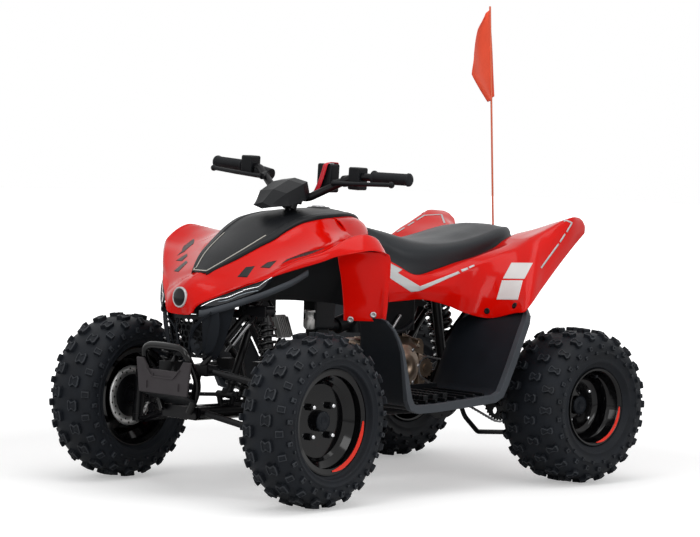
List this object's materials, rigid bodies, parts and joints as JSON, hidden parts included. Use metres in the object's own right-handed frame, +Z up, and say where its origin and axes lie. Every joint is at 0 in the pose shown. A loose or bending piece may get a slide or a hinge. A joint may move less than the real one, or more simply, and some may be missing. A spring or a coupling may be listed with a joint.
{
  "type": "quad bike",
  "caption": "Four-wheeled sport quad with flared fenders, straddle seat, foot wells, double-wishbone front end, rigid rear axle and a whip flag.",
  "frame": {"origin": "on the ground, midway between the two axle lines, on the vehicle's centre plane", "axes": "+X forward, +Y to the rider's left, +Z up"},
  "size_m": [1.4909, 0.9936, 1.3809],
  "materials": {
    "frame_steel": "satin black powder coat",
    "black_metal": "satin black paint",
    "engine_metal": "cast, bronze tinted",
    "black_plastic": "fine grain",
    "silencer_metal": "heat resistant black",
    "chain_steel": "oiled",
    "red_plastic": "high gloss",
    "seat_vinyl": "embossed vinyl",
    "bumper_paint": "gloss black",
    "aluminium": "plain sheet",
    "lamp_lens": "clear lens over chrome guides",
    "foot_plastic": "fine grain, dark grey",
    "pole_orange": "glass fibre rod",
    "flag_cloth": "woven nylon",
    "rubber": "ribbed",
    "red_strap": "ribbed",
    "tyre": "moulded",
    "rim_paint": "gloss black",
    "hub_metal": "satin black with plated nuts",
    "axle_steel": "turned steel"
  },
  "bodies": {
    "chassis": {"front_frame": "frame_steel", "main_frame": "frame_steel", "swing_arm": "frame_steel", "rear_shock": "black_metal", "upper_arms": "frame_steel", "lower_arms": "frame_steel", "front_shocks": "black_metal", "engine": "engine_metal", "intake": "black_plastic", "exhaust": "silencer_metal", "drive_chain": "chain_steel", "hood_panel": "black_plastic", "front_bodywork": "red_plastic", "rear_bodywork": "red_plastic", "seat": "seat_vinyl", "front_bumper": "bumper_paint", "skid_plate": "aluminium", "nose_grille": "black_plastic", "headlamps": "lamp_lens", "tail_panel": "black_plastic", "left_footwell": "foot_plastic", "right_footwell": "foot_plastic", "flag_pole": "pole_orange", "safety_flag": "flag_cloth"},
    "steering": {"steering_column": "frame_steel", "handlebar": "black_metal", "grips": "rubber", "instrument_pod": "black_plastic", "left_controls": "black_plastic", "right_controls": "black_plastic", "parking_strap": "red_strap"},
    "left_knuckle": {"left_knuckle": "black_metal"},
    "right_knuckle": {"right_knuckle": "black_metal"},
    "left_tie_rod": {"left_tie_rod": "black_metal"},
    "right_tie_rod": {"right_tie_rod": "black_metal"},
    "front_left_wheel": {"front_left_tyre": "tyre", "front_left_rim": "rim_paint", "front_left_hub": "hub_metal"},
    "front_right_wheel": {"front_right_tyre": "tyre", "front_right_rim": "rim_paint", "front_right_hub": "hub_metal"},
    "rear_axle": {"rear_axle": "axle_steel", "rear_left_rim": "rim_paint", "rear_left_tyre": "tyre", "rear_right_rim": "rim_paint", "rear_right_tyre": "tyre"}
  },
  "joints": [
    {"name": "steering", "type": "hinge", "parent": "chassis", "child": "steering", "pos_m": [0.455, 0, 0.292], "axis": [-0.3746, 0, 0.9272], "range_deg": [-41.66, 28.34]},
    {"name": "left_kingpin", "type": "hinge", "parent": "chassis", "child": "left_knuckle", "pos_m": [0.515, 0.328, 0.231], "axis": [-0.0698, 0, 0.9976], "range_deg": [-41.66, 28.34]},
    {"name": "right_kingpin", "type": "hinge", "parent": "chassis", "child": "right_knuckle", "pos_m": [0.515, -0.328, 0.231], "axis": [-0.0698, 0, 0.9976], "range_deg": [-41.66, 28.34]},
    {"name": "left_rod_end", "type": "hinge", "parent": "left_knuckle", "child": "left_tie_rod", "pos_m": [0.4703, 0.32284, 0.23692], "axis": [-0.0698, 0, 0.9976], "range_deg": [-28.34, 41.66]},
    {"name": "right_rod_end", "type": "hinge", "parent": "right_knuckle", "child": "right_tie_rod", "pos_m": [0.4703, -0.33316, 0.23692], "axis": [-0.0698, 0, 0.9976], "range_deg": [-28.34, 41.66]},
    {"name": "front_left_spin", "type": "hinge", "parent": "left_knuckle", "child": "front_left_wheel", "pos_m": [0.50725, 0.39455, 0.23046], "axis": [-0.1157, 0.9933, -0.0081], "continuous": true},
    {"name": "front_right_spin", "type": "hinge", "parent": "right_knuckle", "child": "front_right_wheel", "pos_m": [0.52275, -0.39455, 0.23154], "axis": [-0.1157, 0.9933, -0.0081], "continuous": true},
    {"name": "rear_axle_spin", "type": "hinge", "parent": "chassis", "child": "rear_axle", "pos_m": [-0.515, 0, 0.2225], "axis": [0, 1, 0], "continuous": true}
  ],
  "couplings": [
    {"joint": "left_kingpin", "follows": "steering", "ratio": 1},
    {"joint": "right_kingpin", "follows": "steering", "ratio": 1},
    {"joint": "left_rod_end", "follows": "steering", "ratio": -1},
    {"joint": "right_rod_end", "follows": "steering", "ratio": -1}
  ]
}
